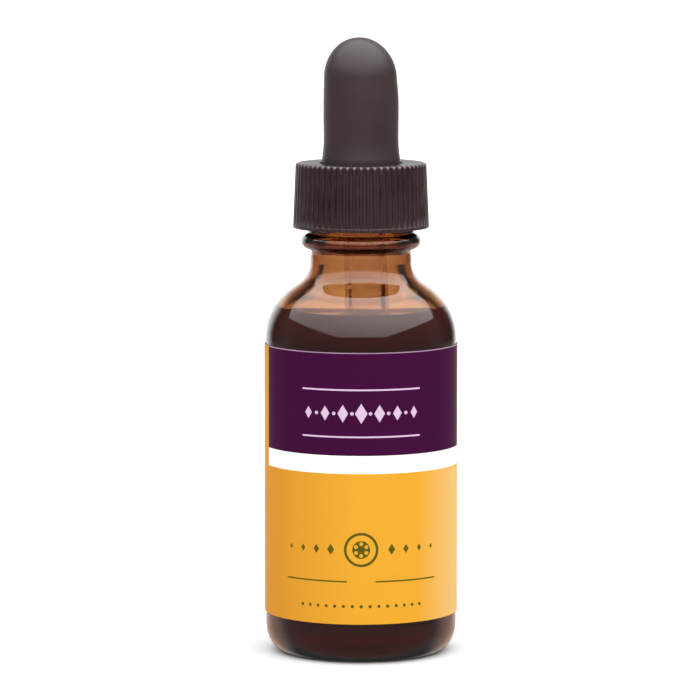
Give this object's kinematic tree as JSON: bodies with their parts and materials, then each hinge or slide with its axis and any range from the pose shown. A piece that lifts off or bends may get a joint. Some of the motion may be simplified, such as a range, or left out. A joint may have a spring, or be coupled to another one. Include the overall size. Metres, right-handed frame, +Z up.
{
  "type": "dropper bottle",
  "caption": "Round amber glass dropper bottle with a screw collar, rubber bulb and glass pipette, for storing and dosing a liquid by the drop.",
  "frame": {"origin": "centre of the bottle's footprint, on the surface that it stands on", "axes": "+Z up along the bottle's axis, -Y towards the front of the label"},
  "size_m": [0.033, 0.033, 0.1045],
  "materials": {
    "amber_glass": "glossy amber",
    "extract": "dark brown liquid",
    "label_print": "printed, semi-gloss",
    "collar_plastic": "moulded, satin",
    "bulb_rubber": "matte",
    "clear_glass": "clear"
  },
  "bodies": {
    "bottle": {"bottle": "amber_glass", "liquid": "extract", "label": "label_print"},
    "dropper": {"bulb": "bulb_rubber", "pipette": "clear_glass"},
    "collar": {"collar": "collar_plastic"}
  },
  "joints": [
    {"name": "dropper_lift", "type": "slide", "parent": "bottle", "child": "dropper", "axis": [0, 0, 1], "range_m": [0, 0.004]},
    {"name": "collar_turn", "type": "hinge", "parent": "dropper", "child": "collar", "pos_m": [0, 0, 0.078], "axis": [0, 0, 1], "range_deg": [0, 450]}
  ],
  "couplings": [
    {"joint": "dropper_lift", "follows": "collar_turn", "m_per_rad": 0.00050532}
  ]
}
